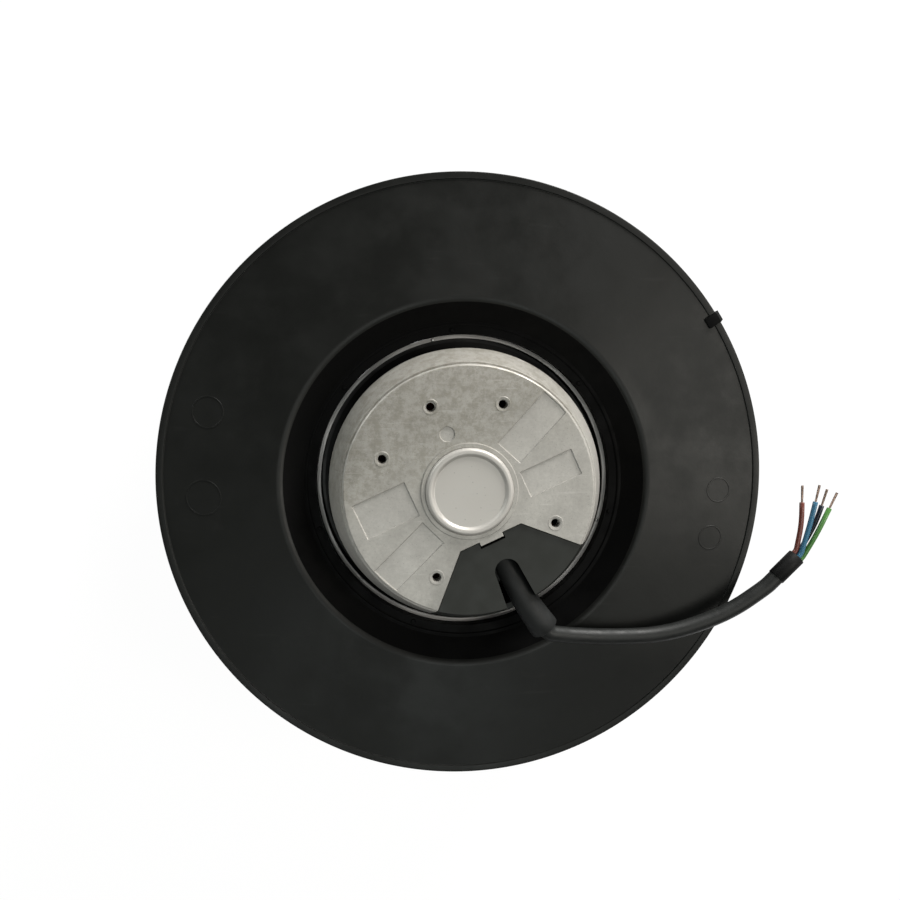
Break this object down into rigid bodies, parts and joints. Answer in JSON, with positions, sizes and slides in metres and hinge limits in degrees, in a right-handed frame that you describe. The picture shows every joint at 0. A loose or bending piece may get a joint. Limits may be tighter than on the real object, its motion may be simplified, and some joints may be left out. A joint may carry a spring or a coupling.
{
  "type": "centrifugal fan",
  "caption": "Backward-curved centrifugal fan: plastic impeller with back plate, blades and inlet shroud, turned by an external-rotor motor with a cast flange and a cable.",
  "frame": {"origin": "centre of the flange's mounting face, on the rotor's axis", "axes": "+Z points out of the mounting face, along the rotor's axis and away from the inlet; +X is to the right in the picture, on the side that the cable runs to"},
  "size_m": [0.2522, 0.2258, 0.0922],
  "materials": {
    "cast_aluminium": "as cast",
    "pressed_cap": "matt grey",
    "spring_steel": "bright",
    "bearing_steel": "ground",
    "lamination_steel": "varnished",
    "winding_copper": "enamelled",
    "insulation": "moulded",
    "cutout_shell": "moulded",
    "cover_plastic": "moulded",
    "cable_jacket": "extruded",
    "sleeve_plastic": "extruded",
    "can_steel": "black, with a bright edge",
    "bush_aluminium": "machined",
    "cage_aluminium": "as cast",
    "shaft_steel": "ground",
    "impeller_plastic": "moulded",
    "clip_steel": "black",
    "lead_brown": "extruded",
    "lead_blue": "extruded",
    "lead_black": "extruded",
    "lead_green": "extruded",
    "conductor_copper": "tinned ends"
  },
  "bodies": {
    "stator": {"stator_flange": "cast_aluminium", "bearing_cap": "pressed_cap", "preload_washer": "spring_steel", "upper_bearing_outer_ring": "bearing_steel", "lower_bearing_outer_ring": "bearing_steel", "stator_core": "lamination_steel", "stator_winding": "winding_copper", "upper_end_plate": "insulation", "lower_end_plate": "insulation", "thermal_cutout": "cutout_shell", "cable_cover": "cover_plastic", "motor_cable": "cable_jacket", "cable_sleeve": "sleeve_plastic", "cable_end_sleeve": "sleeve_plastic", "lead_brown": "lead_brown", "lead_blue": "lead_blue", "lead_black": "lead_black", "lead_green": "lead_green", "conductor_brown": "conductor_copper", "conductor_blue": "conductor_copper", "conductor_black": "conductor_copper", "conductor_green": "conductor_copper"},
    "rotor": {"rotor_can": "can_steel", "rotor_bush": "bush_aluminium", "rotor_core": "lamination_steel", "rotor_cage": "cage_aluminium", "rotor_shaft": "shaft_steel", "shaft_retaining_ring": "spring_steel", "upper_bearing_inner_ring": "bearing_steel", "lower_bearing_inner_ring": "bearing_steel", "impeller_back_plate": "impeller_plastic", "impeller_blade_1": "impeller_plastic", "impeller_blade_2": "impeller_plastic", "impeller_blade_3": "impeller_plastic", "impeller_blade_4": "impeller_plastic", "impeller_blade_5": "impeller_plastic", "impeller_blade_6": "impeller_plastic", "impeller_blade_7": "impeller_plastic", "impeller_shroud": "impeller_plastic", "balance_clip": "clip_steel"}
  },
  "joints": [
    {"name": "rotor_spin", "type": "hinge", "parent": "stator", "child": "rotor", "pos_m": [0, 0, 0], "axis": [0, 0, 1], "continuous": true}
  ]
}
